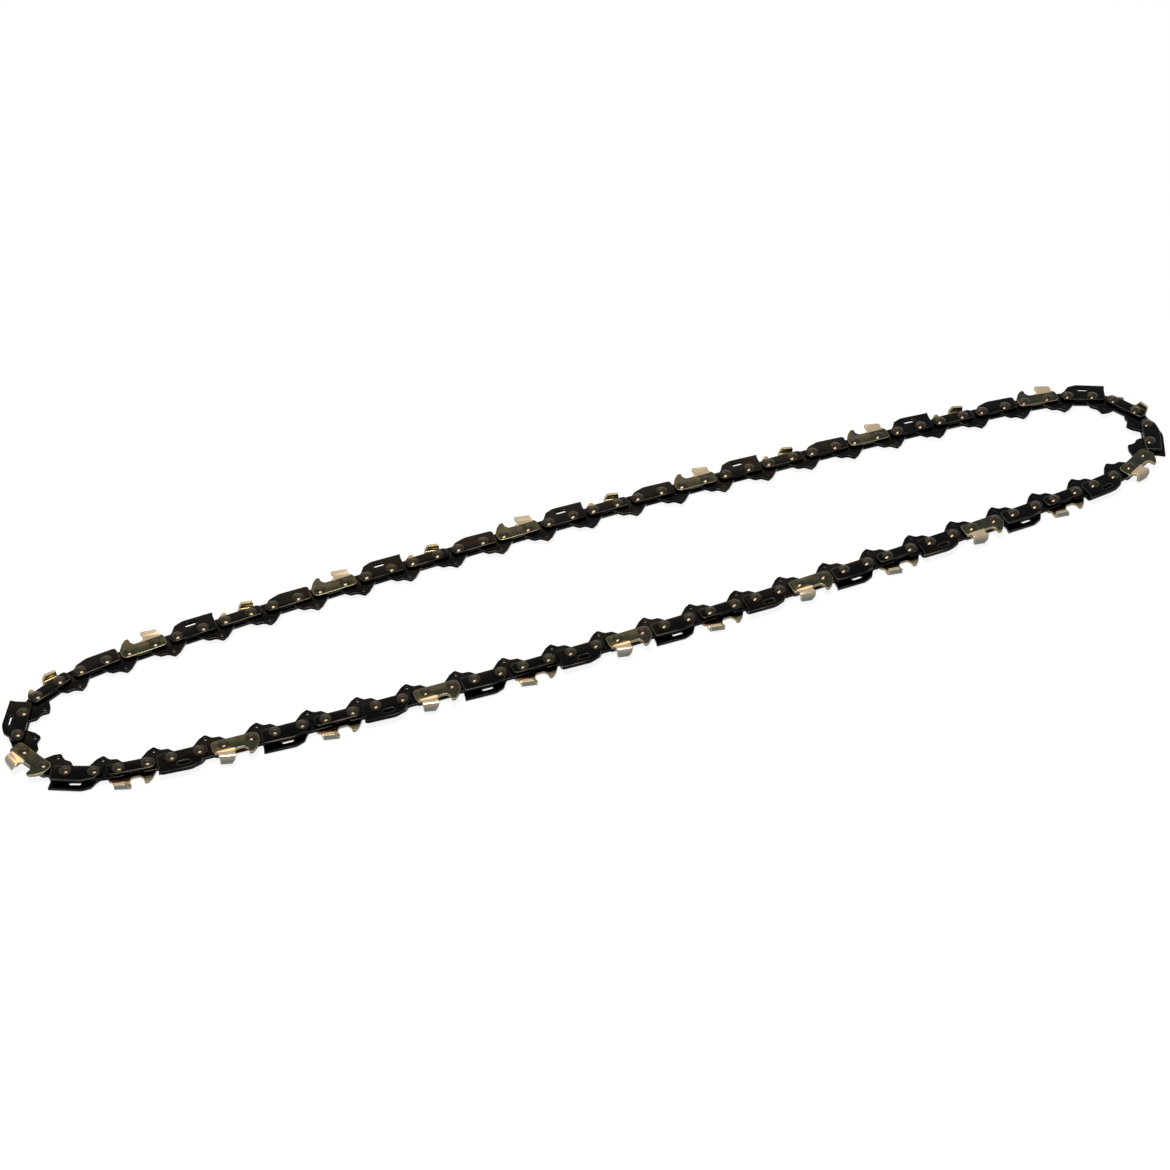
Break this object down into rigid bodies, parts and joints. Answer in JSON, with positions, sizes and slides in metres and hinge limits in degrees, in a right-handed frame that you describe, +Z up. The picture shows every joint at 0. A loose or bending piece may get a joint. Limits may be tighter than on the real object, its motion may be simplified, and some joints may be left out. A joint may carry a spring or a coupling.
{
  "type": "chainsaw chain loop",
  "caption": "Closed loop of low-profile saw chain with drive links, tie straps, guard straps and alternating left and right chisel cutters, lying on its side.",
  "frame": {"origin": "middle of the loop, on the table that it lies on", "axes": "+X along the loop's long runs, +Y across it, +Z up along the rivets"},
  "size_m": [0.4726, 0.082, 0.0055],
  "materials": {
    "link_steel": "blackened spring steel, lightly oiled",
    "cutter_steel": "chrome-faced steel with a yellowish heat tint"
  },
  "bodies": {
    "segment_01": {"links_02": "link_steel", "left_cutter_01": "cutter_steel", "links_03": "link_steel", "right_cutter_02": "cutter_steel"},
    "segment_02": {"links_04": "link_steel", "left_cutter_02": "cutter_steel", "links_05": "link_steel", "right_cutter_03": "cutter_steel"},
    "segment_03": {"links_06": "link_steel", "left_cutter_03": "cutter_steel", "links_07": "link_steel", "right_cutter_04": "cutter_steel"},
    "segment_04": {"links_08": "link_steel", "left_cutter_04": "cutter_steel", "links_09": "link_steel", "right_cutter_05": "cutter_steel"},
    "segment_05": {"links_10": "link_steel", "left_cutter_05": "cutter_steel", "links_11": "link_steel", "right_cutter_06": "cutter_steel"},
    "segment_06": {"links_12": "link_steel", "left_cutter_06": "cutter_steel", "links_13": "link_steel", "right_cutter_07": "cutter_steel", "links_14": "link_steel", "left_cutter_07": "cutter_steel"},
    "segment_07": {"links_15": "link_steel", "right_cutter_08": "cutter_steel", "links_16": "link_steel", "left_cutter_08": "cutter_steel"},
    "segment_08": {"links_17": "link_steel", "right_cutter_09": "cutter_steel", "links_18": "link_steel", "left_cutter_09": "cutter_steel"},
    "segment_09": {"links_19": "link_steel", "right_cutter_10": "cutter_steel", "links_20": "link_steel", "left_cutter_10": "cutter_steel"},
    "segment_10": {"links_21": "link_steel", "right_cutter_11": "cutter_steel", "links_22": "link_steel", "left_cutter_11": "cutter_steel"},
    "segment_11": {"links_23": "link_steel", "right_cutter_12": "cutter_steel", "links_24": "link_steel", "left_cutter_12": "cutter_steel"},
    "segment_12": {"links_25": "link_steel", "right_cutter_13": "cutter_steel", "links_26": "link_steel", "left_cutter_13": "cutter_steel", "links_01": "link_steel", "right_cutter_01": "cutter_steel"}
  },
  "joints": [
    {"name": "pivot_04", "type": "hinge", "parent": "segment_04", "child": "segment_03", "pos_m": [0.02401, -0.0329, 0.00276], "axis": [0, 0, 1], "range_deg": [-3, 9]},
    {"name": "pivot_03", "type": "hinge", "parent": "segment_03", "child": "segment_02", "pos_m": [0.09858, -0.03103, 0.00276], "axis": [0, 0, 1], "range_deg": [-1.4, 3.8]},
    {"name": "pivot_02", "type": "hinge", "parent": "segment_02", "child": "segment_01", "pos_m": [0.17308, -0.02713, 0.00276], "axis": [0, 0, 1], "range_deg": [-5.6, 2]},
    {"name": "pivot_01", "type": "hinge", "parent": "segment_01", "child": "segment_12", "pos_m": [0.22898, 0.00593, 0.00276], "axis": [0, 0, 1], "range_deg": [-9.2, 3.2]},
    {"name": "pivot_12", "type": "hinge", "parent": "segment_12", "child": "segment_11", "pos_m": [0.12516, 0.03063, 0.00276], "axis": [0, 0, 1], "range_deg": [-3.8, 1.4]},
    {"name": "pivot_11", "type": "hinge", "parent": "segment_11", "child": "segment_10", "pos_m": [0.05059, 0.03276, 0.00276], "axis": [0, 0, 1], "range_deg": [-2, 5.6]},
    {"name": "pivot_05", "type": "hinge", "parent": "segment_04", "child": "segment_05", "pos_m": [-0.05059, -0.03276, 0.00276], "axis": [0, 0, -1], "range_deg": [-2, 5.6]},
    {"name": "pivot_06", "type": "hinge", "parent": "segment_05", "child": "segment_06", "pos_m": [-0.12516, -0.03063, 0.00276], "axis": [0, 0, -1], "range_deg": [-3.8, 1.4]},
    {"name": "pivot_07", "type": "hinge", "parent": "segment_06", "child": "segment_07", "pos_m": [-0.22898, -0.00593, 0.00276], "axis": [0, 0, -1], "range_deg": [-9.2, 3.2]},
    {"name": "pivot_08", "type": "hinge", "parent": "segment_07", "child": "segment_08", "pos_m": [-0.17308, 0.02713, 0.00276], "axis": [0, 0, -1], "range_deg": [-5.6, 2]},
    {"name": "pivot_09", "type": "hinge", "parent": "segment_08", "child": "segment_09", "pos_m": [-0.09858, 0.03103, 0.00276], "axis": [0, 0, -1], "range_deg": [-1.4, 3.8]}
  ],
  "couplings": [
    {"joint": "pivot_03", "follows": "pivot_04", "ratio": 0.4},
    {"joint": "pivot_02", "follows": "pivot_04", "ratio": -0.6},
    {"joint": "pivot_01", "follows": "pivot_04", "ratio": -1},
    {"joint": "pivot_12", "follows": "pivot_04", "ratio": -0.4},
    {"joint": "pivot_11", "follows": "pivot_04", "ratio": 0.6},
    {"joint": "pivot_05", "follows": "pivot_04", "ratio": 0.6},
    {"joint": "pivot_06", "follows": "pivot_04", "ratio": -0.4},
    {"joint": "pivot_07", "follows": "pivot_04", "ratio": -1},
    {"joint": "pivot_08", "follows": "pivot_04", "ratio": -0.6},
    {"joint": "pivot_09", "follows": "pivot_04", "ratio": 0.4}
  ]
}
